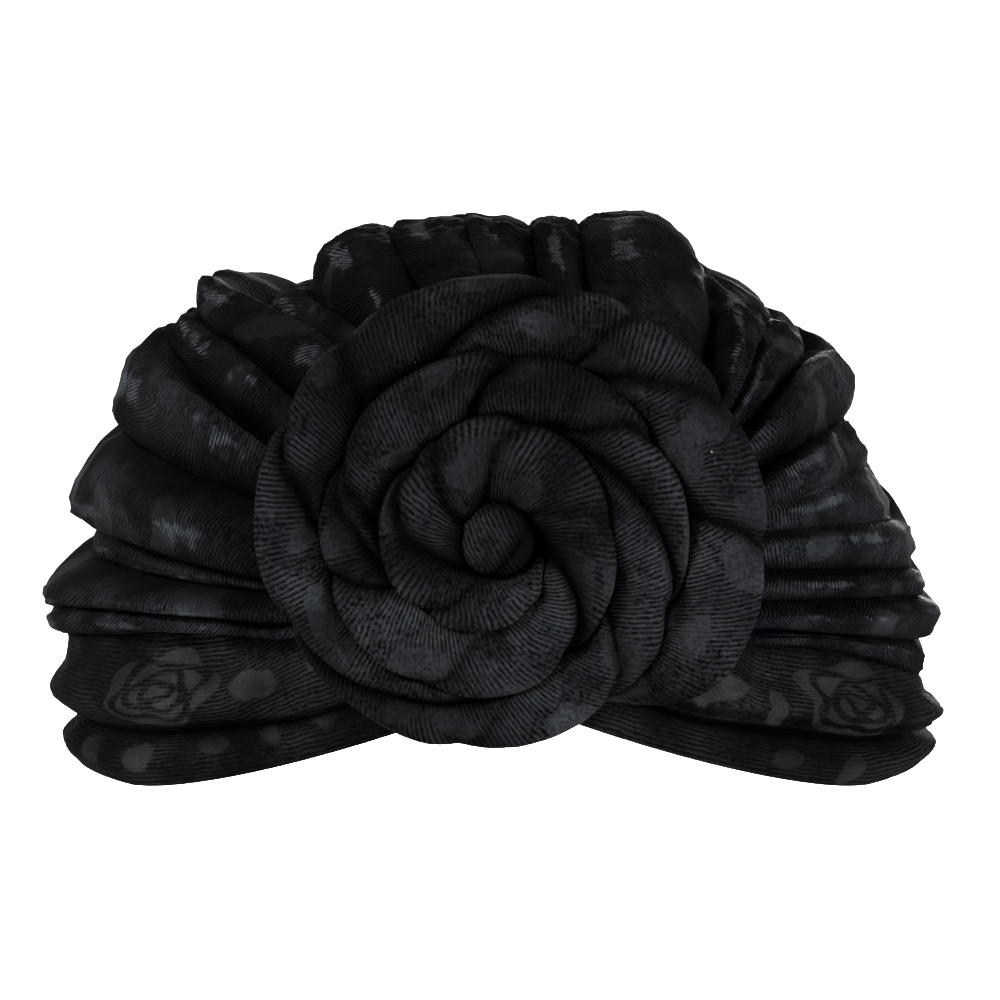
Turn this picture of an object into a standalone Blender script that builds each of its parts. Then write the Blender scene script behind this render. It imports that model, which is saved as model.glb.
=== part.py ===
"""A velvet turban headwrap: a hollow crown gathered into deep folds, a headband below it, and a
rosette of twisted cloth coiled on the brow. Metres, +Z up, the wearer faces -Y and the image of
the front has +X to its right. The origin is the middle of the head opening, level with the lowest
part of the rim.

Directions round the gather on the brow are clock angles: 0 points straight down, 90 to -X,
180 straight up and 270 to +X.
"""

import math

import bpy
import numpy as np
from mathutils import Vector
from mathutils.bvhtree import BVHTree

# Overall sizes of the wrap
CROWN_HALF_WIDTH = 0.1060   # smooth side of the crown, before the folds stand out
CROWN_HALF_HEIGHT = 0.0865  # smooth top of the crown above the gather line
BAND_HALF_WIDTH = 0.1070    # headband at the rim
FRONT_DEPTH = 0.1055        # brow in front of the widest section
BACK_DEPTH = 0.1055         # nape behind the widest section
GATHER_FRONT_HEIGHT = 0.0578
GATHER_MIDDLE_HEIGHT = 0.0477
GATHER_BACK_HEIGHT = 0.0520
CROWN_SQUARENESS = 2.3      # exponent of the crown's outline, 2 is an ellipse

# Cloth and seams
CLOTH = 0.0027              # velvet with its backing, laid double
SEAM_GAP = 0.0003           # clearance between pieces that touch

# The rim
FRONT_ARCH = 0.0285         # rise of the rim over the brow
BACK_ARCH = 0.0140          # rise of the rim over the nape
ARCH_SPAN_DEG = 57.0        # how far round from the middle each arch reaches

# Relief of the headband
HEM_STAND = 0.0030          # how far the hem's roll stands out
PANEL_STAND = 0.0050        # how far the panel's bulge stands out
CREASE_SINK = 0.0010        # how far the crease between them sinks in

# Relief of the crown's folds
FOLD_RISE = 0.0100          # how far a full fold stands in front of the smooth crown
FOLD_SINK = 0.0045          # how far a full crease sinks behind it
BACK_FOLD_SHARE = 0.45      # folds at the back, as a share of those at the sides

# The rosette
ROSETTE_RADIUS = 0.0605
ROSETTE_HEIGHT = 0.0660     # middle of the spiral above the rim
ROSETTE_SIDE = -0.0012      # middle of the spiral to the side of the brow's middle
ROPE_DEPTH = 0.0190         # twisted rope at the edge of the coil, front to back
ROPE_SWELL = 0.0050         # how much deeper the rope is in the middle of the coil
ROPE_LEAD = 0.0700          # length of rope in which a strand goes once round
ROPE_GROOVE = 0.30          # depth of the groove between the two strands, share of the radius
ROPE_SQUARENESS = 2.5       # exponent of the rope's section, 2 is an ellipse
BUD_DEPTH = 0.0270          # rounded end of the cloth in the middle of the coil, front to back
TURN_GAP = 0.0008           # between one turn of the rope and the next
COIL_CLEARANCE = 0.0013     # between the rope and the folds behind it
BUD_CLEARANCE = 0.0004      # between the bud and the smooth brow behind it
TAIL_TUCK_DEG = 40.0        # the rope's last stretch, which grows thinner
TAIL_THIN = 0.45            # share of its depth the rope loses there

# Mesh steps
STEPS_PER_FLANK = 2         # between a crease and the ridge beside it
ROPE_SIDES = 14
ROPE_RING_STEP = 0.0052
BUD_RINGS = 7
FRONT_STEPS_DEG = (11.0, 21.0, 29.0, 36.0, 43.0, 51.0, 60.0, 70.0, 80.0, 90.0)
BACK_STEPS_DEG = (101.0, 113.0, 126.0, 139.0, 151.0, 162.0, 171.0)
RING_DEG = 33.0             # where the folds come out from behind the rosette

# The crown's seam with the headband on each side: clock angle at the side, reach there as a share
# of CROWN_HALF_WIDTH, and clock angle at the rosette.
LEFT_SEAM = {"side_deg": 81.0, "reach": 1.040, "brow_deg": 70.6, "sink": 0.6, "bow": -0.01}
RIGHT_SEAM = {"side_deg": 284.8, "reach": 1.035, "brow_deg": 291.3, "sink": 0.6, "bow": 0.03}

# One row for each fold of the crown, from the left seam over the top to the right seam.
# ridge_*: clock angle of the fold's crest at the side and where it leaves the rosette, and its
# reach from the gather at the side as a share of CROWN_HALF_WIDTH. rise: share of FOLD_RISE.
# crease_*: the same for the crease that follows the fold. sink: share of FOLD_SINK.
# *_bow: how far the line bends towards lower clock angles, as a share of CROWN_HALF_WIDTH.
FOLD_COLUMNS = ("name", "ridge_side", "ridge_reach", "ridge_brow", "ridge_bow", "rise",
                "crease_side", "crease_reach", "crease_brow", "crease_bow", "sink")
FOLDS = [dict(zip(FOLD_COLUMNS, row)) for row in (
    ("left_roll", 83.4, 1.082, 72.8, -0.02, 0.55, 84.5, 1.055, 75.2, -0.02, 0.5),
    ("left_thick", 86.2, 1.088, 79.5, 0.0, 0.9, 90.6, 0.95, 83.0, 0.01, 1.0),
    ("left_hollow", 93.3, 0.96, 84.6, 0.02, 0.0, 95.7, 0.952, 86.5, 0.02, 0.7),
    ("left_point", 98.4, 1.034, 95.5, -0.03, 0.9, 110.0, 0.948, 106.0, 0.02, 1.1),
    ("left_broad", 118.5, 1.004, 116.0, -0.02, 0.95, 125.0, 0.966, 117.5, 0.03, 1.0),
    ("left_steep", 128.0, 0.95, 127.3, -0.02, 0.75, 130.0, 0.915, 130.0, 0.0, 1.0),
    ("left_peak", 133.6, 0.968, 153.0, 0.0, 0.8, 137.6, 0.82, 155.0, 0.0, 1.0),
    ("left_low", 143.0, 0.805, 156.5, 0.0, 0.15, 146.9, 0.775, 158.0, 0.0, 0.9),
    ("top_tall", 155.0, 0.868, 159.5, 0.0, 0.75, 161.5, 0.838, 172.0, 0.0, 1.0),
    ("top_dome", 168.5, 0.822, 181.0, 0.0, 0.6, 174.0, 0.802, 186.0, 0.0, 0.1),
    ("top_middle", 179.5, 0.823, 191.0, 0.0, 0.5, 185.4, 0.79, 196.0, 0.0, 0.8),
    ("top_narrow", 189.5, 0.828, 204.0, 0.0, 0.5, 193.3, 0.818, 209.0, 0.0, 0.8),
    ("top_sausage", 202.5, 0.89, 220.0, 0.0, 0.85, 212.0, 0.842, 237.0, -0.05, 1.0),
    ("right_shoulder", 220.5, 0.874, 241.0, -0.02, 0.75, 226.5, 0.864, 243.0, 0.0, 0.1),
    ("right_slope", 230.0, 0.876, 244.6, 0.0, 0.3, 234.8, 0.846, 246.0, 0.0, 1.2),
    ("right_peak", 238.4, 0.944, 247.3, 0.02, 0.9, 246.2, 0.892, 251.0, 0.0, 1.3),
    ("right_lip", 250.4, 0.892, 256.5, 0.0, 0.65, 254.5, 0.88, 259.5, 0.0, 0.6),
    ("right_low", 259.8, 0.926, 261.0, 0.0, 0.35, 263.6, 0.932, 261.8, 0.0, 0.5),
    ("right_bright", 267.4, 0.992, 263.6, 0.0, 0.75, 270.8, 0.972, 271.0, 0.0, 0.7),
    ("right_second", 272.7, 1.004, 275.0, 0.0, 0.55, 274.6, 0.978, 279.0, 0.0, 0.7),
    ("right_point", 276.5, 1.066, 282.5, 0.0, 0.8, 280.6, 0.996, 285.5, 0.0, 0.6),
    ("right_roll", 283.0, 1.026, 288.3, 0.04, 0.6, None, None, None, None, None),
)]

# The headband's profile from the rim up to the seam: height as a share of the band, and how far
# it stands out, in terms of the named reliefs.
BAND_PROFILE = (
    {"name": "rim", "height": 0.00, "stand": 0.0},
    {"name": "hem_roll", "height": 0.16, "stand": HEM_STAND},
    {"name": "hem_crease", "height": 0.34, "stand": -CREASE_SINK},
    {"name": "panel_bulge", "height": 0.52, "stand": PANEL_STAND},
    {"name": "panel_waist", "height": 0.78, "stand": HEM_STAND / 3},
    {"name": "seam", "height": 1.00, "stand": 0.0},
)
BAND_HEIGHTS = (0.0, 0.08, 0.18, 0.28, 0.34, 0.42, 0.54, 0.68, 0.84, 1.0)

# The rope's outer edge along the spiral: quarter turns clockwise from straight down, and the
# distance from the middle as a share of ROSETTE_RADIUS. The edge of one turn is the inner edge
# of the next, so this one table gives the rope's middle line and its width. The first turn, up
# to quarter 3, is the edge of the bud.
SPIRAL = tuple({"quarter": quarter, "reach": reach} for quarter, reach in (
    (-2, 0.155), (-1, 0.15), (0, 0.13), (1, 0.13), (2, 0.155), (3, 0.19), (4, 0.31), (5, 0.44),
    (6, 0.475), (7, 0.455), (8, 0.575), (9, 0.665), (10, 0.710), (11, 0.74), (12, 0.80),
    (13, 0.930), (14, 0.995), (15, 1.05), (16, 0.99),
))
ROPE_START_QUARTER = 3.15
ROPE_END_QUARTER = 15.5


def smooth(x, low, high):
    """0 below low, 1 above high, and a smooth step between them."""
    u = np.clip((np.asarray(x, float) - low) / (high - low), 0.0, 1.0)
    return u * u * (3.0 - 2.0 * u)


def clock(degrees):
    """Unit direction in the X-Z plane of a clock angle."""
    a = np.radians(degrees)
    return np.stack([-np.sin(a), -np.cos(a)], -1)


def cubic(x, knots, values):
    """Cubic curve through the knots, with slopes from their neighbours."""
    knots, values = np.asarray(knots, float), np.asarray(values, float)
    slopes = np.gradient(values, knots)
    i = np.clip(np.searchsorted(knots, x, side="right") - 1, 0, len(knots) - 2)
    step = knots[i + 1] - knots[i]
    u = (x - knots[i]) / step
    return ((1 + 2 * u) * (1 - u) ** 2 * values[i] + u * (1 - u) ** 2 * step * slopes[i]
            + u * u * (3 - 2 * u) * values[i + 1] + u * u * (u - 1) * step * slopes[i + 1])


def smooth_reach(degrees):
    """Reach of the crown's smooth outline from the gather line, at a clock angle."""
    direction = np.abs(clock(degrees))
    x = direction[..., 0] / CROWN_HALF_WIDTH
    z = direction[..., 1] / CROWN_HALF_HEIGHT
    return (x ** CROWN_SQUARENESS + z ** CROWN_SQUARENESS) ** (-1.0 / CROWN_SQUARENESS)


def gather_height(t_deg):
    """Height of the line that the folds fan out from, which runs from the brow to the nape."""
    t = math.radians(t_deg)
    end = GATHER_FRONT_HEIGHT if t_deg < 90 else GATHER_BACK_HEIGHT
    return GATHER_MIDDLE_HEIGHT + (end - GATHER_MIDDLE_HEIGHT) * abs(math.cos(t))


def depth_at(t_deg):
    """Y of the section at angle t, which is 0 at the brow, 90 at the sides and 180 at the nape."""
    depth = FRONT_DEPTH if t_deg < 90 else BACK_DEPTH
    return -depth * math.cos(math.radians(t_deg))


def side_share(t_deg):
    """0 where the folds leave the rosette, 1 at the sides."""
    low = math.sin(math.radians(RING_DEG))
    return float(np.clip((math.sin(math.radians(t_deg)) - low) / (1 - low), 0, 1))


def fold_lines():
    """Crease and ridge lines in turn, from the left seam to the right seam."""
    lines = [dict(LEFT_SEAM, rise=-LEFT_SEAM["sink"] * FOLD_SINK)]
    for fold in FOLDS:
        lines.append({"side_deg": fold["ridge_side"], "reach": fold["ridge_reach"],
                      "brow_deg": fold["ridge_brow"], "rise": fold["rise"] * FOLD_RISE,
                      "bow": fold["ridge_bow"]})
        if fold["crease_side"] is not None:
            lines.append({"side_deg": fold["crease_side"], "reach": fold["crease_reach"],
                          "brow_deg": fold["crease_brow"], "rise": -fold["sink"] * FOLD_SINK,
                          "bow": fold["crease_bow"]})
    lines.append(dict(RIGHT_SEAM, rise=-RIGHT_SEAM["sink"] * FOLD_SINK))
    first, last = lines[0]["side_deg"], lines[-1]["side_deg"]
    for i, line in enumerate(lines):
        line["nape_deg"] = first + (last - first) * i / (len(lines) - 1)
    return lines


def smooth_normal(point, t_deg):
    """Outward direction of the smooth crown at a point."""
    depth = FRONT_DEPTH if t_deg < 90 else BACK_DEPTH
    gradient = np.array([point[0] / CROWN_HALF_WIDTH ** 2, point[1] / depth ** 2,
                         (point[2] - gather_height(t_deg)) / CROWN_HALF_HEIGHT ** 2])
    return gradient / np.linalg.norm(gradient)


def front_angle(line, share):
    """Clock angle of a line between the rosette and the sides, where it looks nearly straight
    from the front."""
    start = clock(line["brow_deg"]) * smooth_reach(line["brow_deg"])
    start = start * math.sin(math.radians(RING_DEG))
    end = clock(line["side_deg"]) * smooth_reach(line["side_deg"])
    middle = start + (end - start) * share
    across = clock(line["side_deg"] - 90)
    middle = middle + across * (4 * share * (1 - share) * line["bow"] * CROWN_HALF_WIDTH)
    return math.degrees(math.atan2(-middle[0], -middle[1])) % 360


def line_point(line, t_deg):
    """A crease or ridge line where it crosses the section at angle t, and the crown's normal."""
    share = side_share(t_deg)
    if t_deg <= 90:
        degrees = front_angle(line, share)
        side_rise = line["reach"] * CROWN_HALF_WIDTH - float(smooth_reach(line["side_deg"]))
        rise = line["rise"] + (side_rise - line["rise"]) * smooth(share, 0.35, 1.0)
        rise *= smooth(t_deg, 22.0, RING_DEG)
    else:
        back = smooth(t_deg, 90.0, 150.0)
        degrees = line["side_deg"] + (line["nape_deg"] - line["side_deg"]) * back
        side_rise = line["reach"] * CROWN_HALF_WIDTH - float(smooth_reach(line["side_deg"]))
        rise = side_rise * (1 - back) + line["rise"] * BACK_FOLD_SHARE * back
        rise *= 1 - smooth(t_deg, 140.0, 178.0)
    out = clock(degrees) * smooth_reach(degrees) * math.sin(math.radians(t_deg))
    point = np.array([out[0], depth_at(t_deg), gather_height(t_deg) + out[1]])
    normal = smooth_normal(point, t_deg)
    return point + normal * rise, normal


def crown_section(lines, t_deg):
    """Points across all the folds at angle t, and the direction of the cloth's thickness there.
    Each fold rises steeply from its crease and is round on top."""
    stations = [line_point(line, t_deg) for line in lines]
    points = []
    for i in range(len(stations) - 1):
        (here, normal), (there, _) = stations[i], stations[i + 1]
        from_crease = i % 2 == 0
        low, high = (here, there) if from_crease else (there, here)
        up = normal * np.dot(high - low, normal)
        along = (high - low) - up
        for k in range(STEPS_PER_FLANK):
            u = k / STEPS_PER_FLANK if from_crease else 1 - k / STEPS_PER_FLANK
            points.append(low + along * u + up * math.sin(u * math.pi / 2))
    points.append(stations[-1][0])
    outward = [smooth_normal(point, t_deg) for point in points]
    outward[0], outward[-1] = seam_normal(lines[0], t_deg), seam_normal(lines[-1], t_deg)
    return np.array(points), np.array(outward)


def seam_normal(line, t_deg):
    """Level direction of the cloth's thickness along the seam, so that the crown and the
    headband meet square."""
    _, normal = line_point(line, t_deg)
    level = np.array([normal[0], normal[1], 0.0])
    return level / np.linalg.norm(level)


def thickened(points, faces, outward):
    """A closed wall of cloth behind an open outer surface, laid along the given directions."""
    count = len(points)
    walls = [tuple(f) for f in faces]
    walls += [tuple(count + i for i in reversed(f)) for f in faces]
    edges = {(a, b) for face in faces for a, b in zip(face, face[1:] + face[:1])}
    walls += [(b, a, count + a, count + b) for a, b in sorted(edges) if (b, a) not in edges]
    return np.vstack([points, points - outward * CLOTH]), walls


def new_object(name, points, faces, material):
    mesh = bpy.data.meshes.new(name)
    mesh.from_pydata([tuple(p) for p in points], [], [tuple(f) for f in faces])
    mesh.materials.append(material)
    mesh.shade_smooth()
    obj = bpy.data.objects.new(name, mesh)
    bpy.context.scene.collection.objects.link(obj)
    return obj


def velvet(name, colour, roughness):
    material = bpy.data.materials.new(name)
    material.use_nodes = True
    shader = material.node_tree.nodes["Principled BSDF"]
    shader.inputs["Base Color"].default_value = (*colour, 1.0)
    shader.inputs["Roughness"].default_value = roughness
    shader.inputs["Metallic"].default_value = 0.0
    return material


def make_crown(material):
    """The gathered crown: folds fan out from the brow, cross the top and sides, and gather at
    the nape."""
    lines = fold_lines()
    angles = FRONT_STEPS_DEG + BACK_STEPS_DEG
    sections = [crown_section(lines, t) for t in angles]
    across = len(sections[0][0])
    brow = [0.0, depth_at(0.0), gather_height(0.0)]
    nape = [0.0, depth_at(180.0), gather_height(180.0)]
    points = np.vstack([brow] + [section for section, _ in sections] + [nape])
    outward = np.vstack([(0, -1, 0)] + [normals for _, normals in sections] + [(0, 1, 0)])

    def at(row, column):
        return 1 + row * across + column

    last = len(points) - 1
    rows = len(angles)
    faces = [(0, at(0, j + 1), at(0, j)) for j in range(across - 1)]
    faces += [(at(i, j), at(i, j + 1), at(i + 1, j + 1), at(i + 1, j))
              for i in range(rows - 1) for j in range(across - 1)]
    faces += [(last, at(rows - 1, j), at(rows - 1, j + 1)) for j in range(across - 1)]
    return new_object("crown_wrap", *thickened(points, faces, outward), material)


def rim_height(t_deg):
    """Height of the rim, which arches over the brow and the nape."""
    front = max(0.0, 1 - t_deg / ARCH_SPAN_DEG)
    back = max(0.0, 1 - (180 - t_deg) / ARCH_SPAN_DEG)
    return FRONT_ARCH * front ** 1.5 + BACK_ARCH * back ** 1.5


def band_column(line, side, t_deg):
    """Points of the headband from the rim up to the seam, at angle t on one side."""
    heights = [row["height"] for row in BAND_PROFILE]
    stands = [row["stand"] for row in BAND_PROFILE]
    t = math.radians(t_deg)
    rim = np.array([side * BAND_HALF_WIDTH * math.sin(t), depth_at(t_deg), rim_height(t_deg)])
    if t_deg in (0.0, 180.0):
        top = np.array([0.0, depth_at(t_deg), gather_height(t_deg)])
        out = np.array([0.0, -1.0 if t_deg == 0 else 1.0, 0.0])
    else:
        top, _ = line_point(line, t_deg)
        out = seam_normal(line, t_deg)
    top = top - SEAM_GAP * (top - rim) / np.linalg.norm(top - rim)
    relief = smooth(t_deg, 24.0, RING_DEG + 6) * (1 - 0.5 * smooth(t_deg, 100.0, 150.0))
    points = [rim + (top - rim) * v + out * relief * cubic(v, heights, stands)
              for v in BAND_HEIGHTS]
    return points, out


def make_headband(material):
    """The headband: one ring with a rolled hem, a crease and a bulging panel above it."""
    left, right = fold_lines()[0], fold_lines()[-1]
    angles = (0.0,) + FRONT_STEPS_DEG + BACK_STEPS_DEG + (180.0,)
    stations = [(left, -1, t) for t in angles]
    stations += [(right, 1, t) for t in reversed(angles[1:-1])]
    columns = [band_column(*station) for station in stations]
    rows = len(BAND_HEIGHTS)
    points = np.vstack([column for column, _ in columns])
    outward = np.vstack([[out] * rows for _, out in columns])
    faces = []
    for i in range(len(columns)):
        j = (i + 1) % len(columns)
        faces += [(i * rows + k, i * rows + k + 1, j * rows + k + 1, j * rows + k)
                  for k in range(rows - 1)]
    return new_object("headband", *thickened(points, faces, outward), material)


def spiral_edge(quarter):
    knots = [row["quarter"] for row in SPIRAL]
    reaches = [row["reach"] for row in SPIRAL]
    return float(cubic(quarter, knots, reaches)) * ROSETTE_RADIUS


def rope_middle(quarter):
    """Middle of the rope in the X-Z plane, measured from the middle of the spiral."""
    return clock(quarter * 90) * (spiral_edge(quarter) + spiral_edge(quarter - 4)) / 2


def rope_rings():
    """The rope's middle line in the X-Z plane and its half sizes, at even steps along it."""
    fine = np.linspace(ROPE_START_QUARTER, ROPE_END_QUARTER, 1200)
    line = np.array([rope_middle(q) for q in fine])
    lengths = np.concatenate([[0], np.cumsum(np.linalg.norm(np.diff(line, axis=0), axis=1))])
    count = int(round(lengths[-1] / ROPE_RING_STEP))
    rings = []
    for i in range(count + 1):
        length = lengths[-1] * i / count
        quarter = float(np.interp(length, lengths, fine))
        middle = rope_middle(quarter)
        ahead = rope_middle(quarter + 0.02) - rope_middle(quarter - 0.02)
        out = np.array([ahead[1], -ahead[0]]) / np.linalg.norm(ahead)
        out *= math.copysign(1, float(np.dot(out, middle)))
        tuck = 1 - float(smooth((ROPE_END_QUARTER - quarter) * 90, 0.0, TAIL_TUCK_DEG))
        to_tip = min(i, count - i) + 0.45
        size = math.sqrt(1 - max(0.0, 1 - to_tip / 2.5) ** 2)
        swell = ROPE_SWELL * (1 - float(smooth(np.linalg.norm(middle), 0.0, ROSETTE_RADIUS)))
        width = spiral_edge(quarter) - spiral_edge(quarter - 4) - TURN_GAP
        rings.append({"place": middle + (ROSETTE_SIDE, ROSETTE_HEIGHT), "out": out, "length": length,
                      "half_depth": (ROPE_DEPTH + swell) / 2 * size * (1 - TAIL_THIN * tuck),
                      "half_width": width / 2 * size})
    return rings


def squared(value):
    """Flattens a sine or cosine towards a superellipse."""
    return math.copysign(abs(value) ** (2 / ROPE_SQUARENESS), value)


def rope_section(ring):
    """One cross-section: two strands with a groove between them, turned by the twist."""
    twist = -2 * math.pi * ring["length"] / ROPE_LEAD
    points = []
    for k in range(ROPE_SIDES):
        angle = 2 * math.pi * k / ROPE_SIDES
        groove = 1 - ROPE_GROOVE * abs(math.cos(angle)) ** 8
        wide = ring["half_width"] * groove * squared(math.cos(angle + twist))
        deep = ring["half_depth"] * groove * squared(math.sin(angle + twist))
        x, z = ring["place"] + ring["out"] * wide
        points.append((x, -deep, z))
    return np.array(points)


def resting_depth(points, trees, clearance):
    """The most these points can move back before they meet the wrap behind them."""
    room = []
    for x, y, z in points:
        for tree in trees:
            hit = tree.ray_cast(Vector((x, -1.0, z)), Vector((0.0, 1.0, 0.0)))[0]
            if hit is not None:
                room.append(hit.y - y)
    return min(room) - clearance


def surface_trees(objects):
    return [BVHTree.FromPolygons([v.co for v in obj.data.vertices],
                                 [tuple(p.vertices) for p in obj.data.polygons])
            for obj in objects]


def rested(sections, trees, clearance):
    """Moves cross-sections back until they rest on the wrap. The room is also measured halfway
    to the next point and the next section, and each takes the least room of its neighbours, so
    that the faces between them clear the wrap as well."""
    rooms = []
    for here, ahead in zip(sections, sections[1:] + sections[-1:]):
        near = np.vstack([here, (here + ahead) / 2])
        near = np.vstack([near, (near + np.roll(near, 1, axis=0)) / 2])
        rooms.append(resting_depth(near, trees, clearance))
    return [section + (0.0, min(rooms[max(0, i - 1):i + 2]), 0.0)
            for i, section in enumerate(sections)]


def tube_faces(rings, sides):
    faces = []
    for i in range(rings - 1):
        for k in range(sides):
            n = (k + 1) % sides
            faces.append((i * sides + k, i * sides + n, (i + 1) * sides + n, (i + 1) * sides + k))
    return faces


def make_coil(material, trees):
    """The rosette's coil: a two-strand rope of twisted cloth, wound outwards round the bud, that
    rests on the crown and the headband."""
    sections = rested([rope_section(ring) for ring in rope_rings()], trees, COIL_CLEARANCE)
    faces = tube_faces(len(sections), ROPE_SIDES)
    faces.append(tuple(reversed(range(ROPE_SIDES))))
    tip = (len(sections) - 1) * ROPE_SIDES
    faces.append(tuple(range(tip, tip + ROPE_SIDES)))
    return new_object("rosette_coil", np.vstack(sections), faces, material)


def bud_edge(quarter):
    """Outline of the bud, which closes on itself after the spiral's first turn."""
    blend = float(smooth(quarter, 1.0, 3.0))
    return spiral_edge(quarter) * (1 - blend) + spiral_edge(quarter - 4) * blend


def make_bud(material, trees):
    """The rounded end of the cloth that shows in the middle of the coil."""
    points = []
    for i in range(BUD_RINGS):
        slope = math.pi * (i + 0.5) / BUD_RINGS - math.pi / 2
        for k in range(ROPE_SIDES):
            quarter = 4 * k / ROPE_SIDES - 1
            reach = bud_edge(quarter) * squared(math.cos(slope))
            x, z = clock(quarter * 90) * reach + (ROSETTE_SIDE, ROSETTE_HEIGHT)
            points.append((x, -BUD_DEPTH / 2 * squared(math.sin(slope)), z))
    points = rested([np.array(points)], trees, BUD_CLEARANCE)[0]
    faces = [tuple(reversed(face)) for face in tube_faces(BUD_RINGS, ROPE_SIDES)]
    faces.append(tuple(range(ROPE_SIDES)))
    tip = (BUD_RINGS - 1) * ROPE_SIDES
    faces.append(tuple(reversed(range(tip, tip + ROPE_SIDES))))
    return new_object("rosette_bud", points, faces, material)


def main():
    for old in list(bpy.data.objects):
        bpy.data.objects.remove(old)
    crown = make_crown(velvet("crown_velvet", (0.010, 0.011, 0.013), 0.85))
    band = make_headband(velvet("band_velvet", (0.012, 0.012, 0.014), 0.85))
    trees = surface_trees((crown, band))
    make_coil(velvet("coil_velvet", (0.013, 0.013, 0.016), 0.82), trees)
    make_bud(velvet("bud_velvet", (0.016, 0.016, 0.019), 0.82), trees)


main()
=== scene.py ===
"""The looks of the velvet turban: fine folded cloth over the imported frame, ribbed black velvet
with a burnt-out pattern, soft studio light and the camera of the photograph. Metres, in the
frame's own axes: +Z up, the wearer faces -Y.

Directions round the gather on the brow are clock angles: 0 points straight down, 90 to -X,
180 straight up and 270 to +X.
"""

import math

import bpy
import numpy as np
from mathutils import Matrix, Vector
from mathutils.bvhtree import BVHTree


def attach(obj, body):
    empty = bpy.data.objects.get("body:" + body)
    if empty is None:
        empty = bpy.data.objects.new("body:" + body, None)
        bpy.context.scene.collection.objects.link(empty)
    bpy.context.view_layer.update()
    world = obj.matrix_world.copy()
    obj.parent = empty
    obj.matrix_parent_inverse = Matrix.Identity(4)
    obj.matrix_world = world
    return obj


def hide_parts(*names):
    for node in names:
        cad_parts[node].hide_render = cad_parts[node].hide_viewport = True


# Sizes shared with the solids
CROWN_HALF_WIDTH = 0.1060
CROWN_HALF_HEIGHT = 0.0865
CROWN_SQUARENESS = 2.3
BAND_HALF_WIDTH = 0.1070
FRONT_DEPTH = 0.1055
BACK_DEPTH = 0.1055
GATHER_FRONT_HEIGHT = 0.0578
GATHER_MIDDLE_HEIGHT = 0.0477
GATHER_BACK_HEIGHT = 0.0520
CLOTH = 0.0027
SEAM_GAP = 0.0003
FRONT_ARCH = 0.0285
BACK_ARCH = 0.0140
ARCH_SPAN_DEG = 57.0
HEM_STAND = 0.0030
PANEL_STAND = 0.0050
CREASE_SINK = 0.0010
FOLD_RISE = 0.0100
FOLD_SINK = 0.0045
BACK_FOLD_SHARE = 0.45
RING_DEG = 33.0
ROSETTE_RADIUS = 0.0605
ROSETTE_HEIGHT = 0.0660
ROSETTE_SIDE = -0.0012
ROPE_DEPTH = 0.0190
ROPE_SWELL = 0.0050
ROPE_SQUARENESS = 2.5
TAIL_TUCK_DEG = 40.0
TAIL_THIN = 0.45
BUD_DEPTH = 0.0270

# Finer relief than the solids have
STRAIGHT_TO_DEG = 28.0  # the folds run straight this far in behind the rosette
STEPS_PER_FLANK = 7
FLANK_LEAN = 0.24  # how much steeper a fold is beside its crease
LEFT_FLANKS = 16  # flanks of the folds left of the top, which lean down over each other
OPEN_FLANK = 2.0  # how hollow the upper flanks of those folds are; 1 is a full round
ROUND_FLANK = 1.0  # their lower flanks
OTHER_FLANK = 1.3  # the flanks of all the other folds
PLEAT_HEIGHT = 0.0007  # small pleats that run along the folds
RIPPLE_HEIGHT = 0.0005  # ripples across them
CRUMPLE_HEIGHT = 0.0012  # wider dents and swells
RIB_TURN_DEG = 70.0  # how far the velvet's ribs turn along the folds at the sides
# Painted shade and painted highlight streaks of the crown, which its material reads
TOP_SHADE = 0.65  # painted shade: how much darker the top of the crown is
HIGHLIGHT_PLACE = 0.80  # where the painted highlight streaks lie between a crease and a ridge
HIGHLIGHT_WIDTH = 0.17
HIGHLIGHT_BELOW = 0.25  # how bright they are on the far side of a ridge

# Random surfaces of the crown: changes across a flank, changes a metre along a fold, and seed
PLEAT_NOISE = (2.6, 14, 11)
RIPPLE_NOISE = (0.9, 120, 23)
CRUMPLE_NOISE = (0.9, 30, 29)
HIGHLIGHT_NOISE = (2.2, 34, 77)
BAND_COLUMNS = 600
ROPE_SIDES = 72
ROPE_RING_STEP = 0.0009
BUD_RINGS = 36

# Lines of the crown: place at the side, reach there, place at the brow, bow, and rise or sink
LINE_COLUMNS = ("side_deg", "reach", "brow_deg", "bow", "rise")
LEFT_SEAM = (81.0, 1.040, 70.6, -0.01, 0.6)
RIGHT_SEAM = (284.8, 1.035, 291.3, 0.03, 0.6)

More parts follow.
